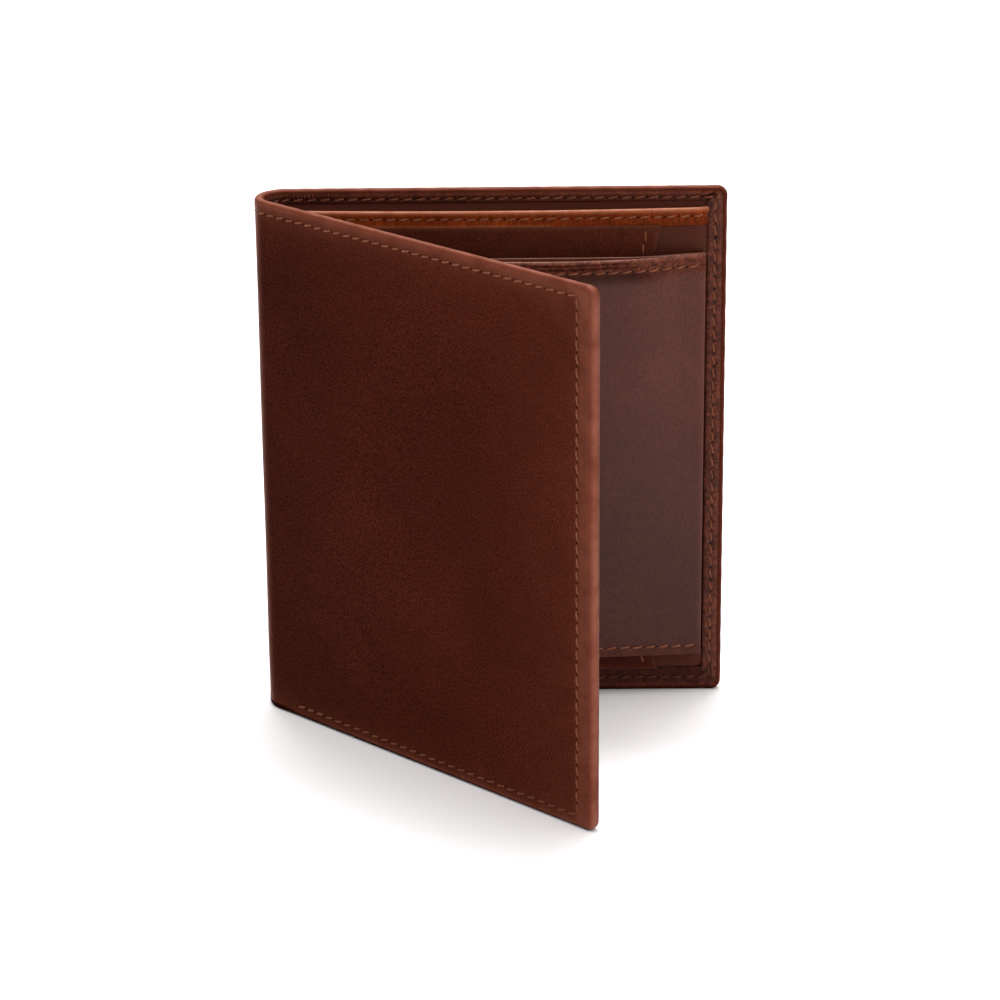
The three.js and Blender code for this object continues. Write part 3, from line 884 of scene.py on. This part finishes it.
def sheet_rows(side):
    """Rows in s of what lines a leaf, from the middle of the spine to under the side hem."""
    return spaced(SPINE_MIDDLE, hem_edge(side) + 0.8, 1.2, fine=(4.0, 0.6))


def lining(side):
    """The note compartment's outer wall, over the stiffener."""
    name = LEAF_BODY[side]
    rows = sheet_rows(side)
    up = spaced(BOTTOM_HEM - 0.6, HEIGHT - TOP_HEM + 0.6, 2.0)

    def depth(s, z):
        under_hem = 0.3 * smooth(z - HEIGHT + TOP_HEM + 1.2)
        return LINING_DEPTH + 0.03 * ripple(s, z, 3, 25) - under_hem

    piece = slab(f"lining_{name}_cloth", side, rows, up, depth, 0.3, LINING_CLOTH, cut=True)
    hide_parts(*nodes_of("lining", side))
    frame["nodes"][f"stiffener_{name}"].material_slots[0].material = GREYBOARD
    across_fold(piece)
    return piece


def panel(side, below):
    """The note compartment's inner wall, over the lining. The argument below is not used."""
    rows = sheet_rows(side)
    up = spaced(BOTTOM_HEM - 0.6, BAND_BOTTOM + 0.6, 1.5)

    def depth(s, z):
        return panel_depth(side, s, z) - 0.5 * smooth((BOTTOM_HEM + 1 - z) / 1.2)

    piece = slab(f"panel_{LEAF_BODY[side]}_cloth", side, rows, up, depth, 0.4, PANEL_CLOTH,
                 cut=True)
    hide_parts(*nodes_of("panel", side))
    across_fold(piece)


def band(side):
    """The polished band along the panel's top edge, and its thread."""
    end = hem_edge(side)
    seam = Seam([(end - 0.6, BAND_SEAM), (SPINE_MIDDLE, BAND_SEAM)])

    def thickness(s, z):
        rolled = bell(z - BAND_TOP + 0.6, 0.8)
        return 0.8 + 0.35 * rolled - 0.25 * smooth((s - end + 2) / 2)

    def depth(s, z):
        return panel_depth(side, s, z) + 0.12 - seam.groove(s, z, 0.10, 0.5)

    def wear_and_painted_light(s, z):
        # Lighter along its top, less towards the right, from scuffing and painted highlight; below the
        # top, darker towards the right end.
        on_top = smooth((z - BAND_TOP + 1.0) / 0.8) * (1 - 0.5 * smooth((s - 50) / 30))
        return on_top - 0.35 * smooth((s - 55) / 30) * smooth((BAND_TOP - 1.0 - z) / 0.5)

    piece = slab(f"band_{LEAF_BODY[side]}_leather", side, sheet_rows(side),
                 spaced(BAND_BOTTOM, BAND_TOP, 0.3), depth, thickness, BAND_LEATHER,
                 cut=True, rounding=0.6, seam=seam.attribute, wear_and_painted_light=wear_and_painted_light)
    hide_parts(*nodes_of("band", side))
    across_fold(piece)
    thread = stitches(f"band_thread_{LEAF_BODY[side]}_row", side, seam,
                      lambda s, z: depth(s, z) + 0.36, 1, seed=40 + side)
    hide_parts(*nodes_of("band_thread", side))
    across_fold(thread)


# ---- pockets ----

POCKET_START = 0.8  # where the pockets start beside the fold, in s
SLOT_DROP = 42.4  # how far a card slot reaches down from its edge
SLOT_STEP = 0.38  # each card slot lies this much over the last


def slip_pocket():
    """The slip pocket on the back leaf, open at its curved mouth beside the hem."""
    low, high = BOTTOM_HEM - 0.3, BAND_BOTTOM + 0.5
    half = (high - low) / 2
    radius = (half ** 2 + MOUTH_DIP ** 2) / (2 * MOUTH_DIP)

    def mouth(z):
        return MOUTH - MOUTH_DIP + radius - np.sqrt(radius ** 2 - (z - (low + high) / 2) ** 2)

    seam = Seam([(mouth(z) - 2.8, z) for z in np.arange(low + 1.5, high - 0.6, PITCH)])

    def laid(s, z):
        lifted = 0.25 * smooth((s - mouth(z) + 12) / 12)
        return POCKET_DEPTH + note_gape(s, z, BACK) + lifted - 0.45 * smooth((low + 1.2 - z) / 1.2)

    pocket = slab("slip_pocket_leather", BACK, spaced(POCKET_START, MOUTH, 1.0),
                  spaced(low, high, 1.0),
                  lambda s, z: laid(s, z) - seam.groove(s, z, 0.08, 0.5), 0.5,
                  POCKET_LEATHER,
                  bounds=lambda z: (np.full_like(z, POCKET_START), mouth(z)),
                  seam=seam.attribute, edge_wear=0.45)
    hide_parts("slip_pocket")
    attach(pocket, "back")
    thread = stitches("slip_thread_row", BACK, seam, lambda s, z: laid(s, z) + 0.2, 1, seed=51)
    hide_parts("slip_thread")
    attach(thread, "back")


def card_slot(name, edge, order):
    """One card slot on the front leaf, with a creased line under its edge."""
    end = hem_edge(FRONT) + 0.5

    def depth(s, z):
        crease = 0.07 * bell(z - edge + 1.6, 0.35)
        sag = 0.12 * np.sin(math.pi * np.clip(s / end, 0, 1)) * smooth((z - edge + 10) / 10)
        dive = -0.5 * smooth((s - end + 2) / 2) - 0.35 * smooth((2.6 - s) / 2)
        level = POCKET_DEPTH + 0.05 + SLOT_STEP * order + note_gape(s, z, FRONT)
        return level - crease + sag + dive

    slot = slab(f"card_slot_{name}_leather", FRONT, spaced(POCKET_START, end, 1.2),
                spaced(edge - SLOT_DROP, edge, 0.7), depth, 0.34, POCKET_LEATHER)
    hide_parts(f"card_slot_{name}")
    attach(slot, "front")


# ---- swing flap ----

FLAP_FREE_S = FLAP_HINGE_S - FLAP_LENGTH
FLAP_SEAM_DOWN, FLAP_SEAM_UP = 2.8, 2.1  # its two seams, from its top and its bottom
FOLDS_DOWN = (0.85, 1.8)  # two fold lines, from its top


def flap_seam(z):
    return Seam([(FLAP_HINGE_S - 0.8, z), (FLAP_FREE_S + 3, z)])


FLAP_SEAM = {
    "top": flap_seam(FLAP_HIGH - FLAP_SEAM_DOWN),
    "bottom": flap_seam(FLAP_LOW + FLAP_SEAM_UP),
}


def through(stops):
    """A smooth curve through (x, value) stops."""
    xs, values = (np.array(column, float) for column in zip(*stops))
    slopes = np.gradient(values, xs)

    def curve(x):
        x = np.clip(x, xs[0], xs[-1])
        k = np.clip(np.searchsorted(xs, x, side="right") - 1, 0, len(xs) - 2)
        width = xs[k + 1] - xs[k]
        t = (x - xs[k]) / width
        return ((2 * t ** 3 - 3 * t ** 2 + 1) * values[k]
                + (t ** 3 - 2 * t ** 2 + t) * width * slopes[k]
                + (3 * t ** 2 - 2 * t ** 3) * values[k + 1]
                + (t ** 3 - t ** 2) * width * slopes[k + 1])

    return curve


# Depth of the flap's top edge against the distance from its hinge: the front leather gapes
FRONT_TOP = through([(0, 4.6), (5, 5.9), (11, 8.2), (22, 10.1), (36, 10.6), (48, 9.9), (58, 8.9)])
BACK_TOP = through([(0, 4.3), (5, 5.4), (11, 7.0), (22, 7.6), (36, 7.6), (48, 7.65), (58, 8.0)])
ROOT_DEPTH = 1.95  # of the flap's root, under the hem


def flap_bottom(x):
    """Depth of the flap's bottom edge at x millimetres from its hinge."""
    return 4.45 + 0.075 * x - 0.0007 * np.maximum(x - 20, 0) ** 2


def flap_surface(top, lift, rooted):
    """Depth of one leather of the flap, between its bottom edge and its top curve. The rooted one
    dives under the hem at the hinge."""
    def depth(s, z):
        x = FLAP_HINGE_S - s
        up = np.clip((z - FLAP_LOW) / (FLAP_HIGH - FLAP_LOW), 0, 1)
        level = flap_bottom(np.maximum(x, 0)) + lift
        level = level + (top(np.maximum(x, 0)) - level) * up ** 1.7
        dive = smooth((s - FLAP_HINGE_S + 0.4) / 0.7) if rooted else 0.0
        return level + (ROOT_DEPTH - level) * dive + 0.07 * ripple(s, z, 9, 22) * smooth(x / 8)
    return depth


front_surface = flap_surface(FRONT_TOP, 0.0, rooted=False)
back_surface = flap_surface(BACK_TOP, -0.75, rooted=True)


def nearer_flap_seam(s, z):
    """Seam marks from whichever of the flap's two seams is nearer."""
    top, bottom = FLAP_SEAM["top"].attribute(s, z), FLAP_SEAM["bottom"].attribute(s, z)
    return np.where((top[:, 1] < bottom[:, 1])[:, None], top, bottom)


def folds(s, z):
    """Two fold lines of the turned top edge, from 0 to 1. They fade out towards the hinge."""
    wavy = 0.1 * np.sin(s / 4)
    lines = sum(bell(z - FLAP_HIGH + below + wavy, 0.22) for below in FOLDS_DOWN)
    return lines * (1 - smooth((s - 68) / 8))


def turned_edge(s, z):
    """1 on the flap's turned edges, outside its seams, and a little way in from them."""
    above = smooth(z - FLAP_HIGH + 3.6)
    gathered = smooth((z - FLAP_HIGH + 7) / 4) * smooth((s - 68) / 8)
    return np.maximum.reduce([above, 0.7 * gathered, 0.45 * smooth(FLAP_LOW + 2.6 - z)])


def top_wear_and_highlight(z):
    # Lighter along the top edge: scuffing and painted highlight.
    return 0.8 * smooth(z - FLAP_HIGH + 1.2)


def front_depth(s, z):
    """Depth of the flap's front leather, puffed above its top seam and puckered along it."""
    puff = 0.12 * bell(z - FLAP_HIGH + 1.3, 0.9) - 0.09 * folds(s, z)
    along, away = FLAP_SEAM["top"].measure(s, z)
    pucker = 0.05 * np.cos(2 * math.pi * along) * bell(away, 1.3)
    sunk = front_surface(s, z) + puff - pucker - FLAP_SEAM["top"].groove(s, z, 0.22, 0.7)
    return sunk - FLAP_SEAM["bottom"].groove(s, z, 0.1, 0.5)


def front_thickness(s, z):
    """The flap's front leather is thicker at the top, where it is turned over."""
    return 0.55 + 0.25 * smooth((z - FLAP_HIGH + 5.2) / 0.8)


def front_wear_and_light(s, z):
    """Lighter on its top and turned edges, from scuffing and painted highlight; painted shade darkens
    its fold lines and the crimp under the top seam.
    """
    below = FLAP_HIGH - FLAP_SEAM_DOWN - z
    crimp = smooth(below / 0.5) * (1 - smooth((below - 1.3) / 2.2)) * (1 - smooth((s - 73) / 9))
    return top_wear_and_highlight(z) + 0.28 * turned_edge(s, z) * (1 - crimp) - 0.55 * crimp - 1.1 * folds(s, z)


def root_wear_and_shade(s, z):
    """Painted shade darkens the flap's back leather where it goes under the hem; its top edge is
    lighter as on the front.
    """
    return top_wear_and_highlight(z) - 0.9 * smooth((s - FLAP_HINGE_S + 0.1) / 0.3)


def finer(rows, low, high):
    """The same rows, and ones a quarter of a millimetre apart from low to high."""
    return np.union1d(rows, np.arange(low, high, 0.25))


def flap_leathers():
    """The flap's front leather, and its back one with the root. Returns the back one."""
    up = finer(finer(spaced(FLAP_LOW, FLAP_HIGH, 1.0), 96.5, 101), 10.5, 13)
    front_rows = spaced(FLAP_FREE_S, FLAP_HINGE_S + 0.35, 0.7)
    front = slab("flap_front_leather", BACK, front_rows, up, front_depth, front_thickness,
                 FLAP_LEATHER, seam=nearer_flap_seam, wear_and_painted_light=front_wear_and_light,
                 edge_wear=0.3, hem=turned_edge)
    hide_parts("flap_front")
    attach(front, "flap")
    back_rows = finer(spaced(FLAP_FREE_S, ROOT_END, 1.0), 86, ROOT_END)
    back = slab("flap_back_leather", BACK, back_rows, up, back_surface, 0.5, FLAP_LEATHER,
                seam=nearer_flap_seam, wear_and_painted_light=root_wear_and_shade, edge_wear=0.0)
    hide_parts("flap_back", "flap_root")
    with_flap(back)
    return back


def flap_divider(below):
    """The thin cloth between the flap's two leathers."""
    rows = spaced(FLAP_FREE_S + 2, FLAP_HINGE_S - 3, 2.0)
    up = spaced(FLAP_LOW + 3, FLAP_HIGH - 3, 2.0)
    piece = slab("flap_divider_cloth", BACK, rows, up,
                 lambda s, z: (front_surface(s, z) + back_surface(s, z)) / 2 - 0.03, 0.15,
                 LINING_CLOTH)
    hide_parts("flap_divider")
    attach(piece, "flap")


def flap_threads(row):
    """The needle and bobbin sides of one of the flap's seams."""
    thread = stitches(f"flap_thread_{row}_row", BACK, FLAP_SEAM[row],
                      lambda s, z: front_depth(s, z) + front_thickness(s, z) / 2, 1, seed=61)
    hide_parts(f"flap_thread_{row}")
    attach(thread, "flap")
    bobbin = stitches(f"flap_bobbin_{row}_row", BACK, FLAP_SEAM[row],
                      lambda s, z: back_surface(s, z) - 0.25, -1, seed=62)
    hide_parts(f"flap_bobbin_{row}")
    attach(bobbin, "flap")


for leaf_side in LEAF_BODY:
    cover(leaf_side)
    edge_thread(leaf_side)
    edge_bobbin(leaf_side)
    panel(leaf_side, below=lining(leaf_side))
    band(leaf_side)
slip_pocket()
for slot_order, (slot_name, slot_edge) in enumerate(SLOTS.items()):
    card_slot(slot_name, slot_edge, slot_order)
flap_divider(below=flap_leathers())
for seam_row in FLAP_SEAM:
    flap_threads(seam_row)

# ---- stage ----

# The photograph's camera, solved from the covers' edges: millimetres from the fold axis, and
# degrees down, to the side and round
CAMERA_PLACE = (42.05, -710.5, 306.7)
CAMERA_DOWN, CAMERA_ASIDE, CAMERA_ROUND = 20.10, -0.19, -0.46
LENS, SENSOR = 125.9, 36.0
FLOOR_REACH = 6.0  # metres


def camera():
    data = bpy.data.cameras.new("camera")
    data.sensor_width = SENSOR
    data.lens = LENS
    data.clip_start, data.clip_end = 0.01, 20
    down, aside, roll = (math.radians(a) for a in (CAMERA_DOWN, CAMERA_ASIDE, CAMERA_ROUND))
    look = Matrix.Rotation(aside, 4, "Z") @ Matrix.Rotation(math.pi / 2 - down, 4, "X")
    at = (Vector((AXIS_X, AXIS_Y, 0)) + Vector(CAMERA_PLACE)) * MM
    made = bpy.data.objects.new("camera", data)
    made.matrix_world = Matrix.Translation(at) @ look @ Matrix.Rotation(roll, 4, "Z")
    bpy.context.scene.collection.objects.link(made)
    bpy.context.scene.camera = made


def area_light(name, at, aim, size, power):
    data = bpy.data.lights.new(name, "AREA")
    data.shape = "RECTANGLE"
    data.size, data.size_y = size
    data.energy = power
    made = bpy.data.objects.new(name, data)
    made.location = at
    made.rotation_euler = (Vector(aim) - Vector(at)).to_track_quat("-Z", "Y").to_euler()
    bpy.context.scene.collection.objects.link(made)


def floor():
    """A pale floor that glows a little far from the wallet, where less lamplight falls."""
    mesh = bpy.data.meshes.new("floor")
    corners = [(-1, -1), (1, -1), (1, 1), (-1, 1)]
    points = [(x * FLOOR_REACH, y * FLOOR_REACH, 0) for x, y in corners]
    mesh.from_pydata(points, [], [(0, 1, 2, 3)])
    made = bpy.data.objects.new("floor", mesh)
    bpy.context.scene.collection.objects.link(made)
    sh = Shader("floor")
    point = sh.node("NewGeometry", "Position")
    colour = sh.mix(sh.noise(40.0, 2, 0.5, point), (0.93, 0.898, 0.898), (0.95, 0.918, 0.918))
    from_middle = sh.node("VectorMath", "Value", {"operation": "LENGTH"}, i0=point)
    glow = sh.band(from_middle, 0.9, 2.2, 0.0, 0.5)
    mesh.materials.append(sh.finish(Base_Color=colour, Roughness=0.6, Emission_Color=(1, 1, 1),
                                    Emission_Strength=glow, Specular_IOR_Level=0.1))


def world():
    made = bpy.data.worlds.new("studio")
    made.use_nodes = True
    background = made.node_tree.nodes["Background"]
    background.inputs["Color"].default_value = (1, 1, 1, 1)
    background.inputs["Strength"].default_value = 0.59
    bpy.context.scene.world = made


camera()
floor()
world()
area_light("overhead", (0.04, 0.30, 2.2), (0, 0.08, 0.05), (3.0, 2.6), 53)
area_light("rim", (0.05, 0.45, 1.5), (0, 0.02, 0.08), (0.6, 0.3), 12.6)
area_light("front_fill", (0.7, -0.9, 0.7), (0.02, 0, 0.06), (0.7, 0.7), 2.8)
bpy.context.scene.view_settings.view_transform = "Standard"
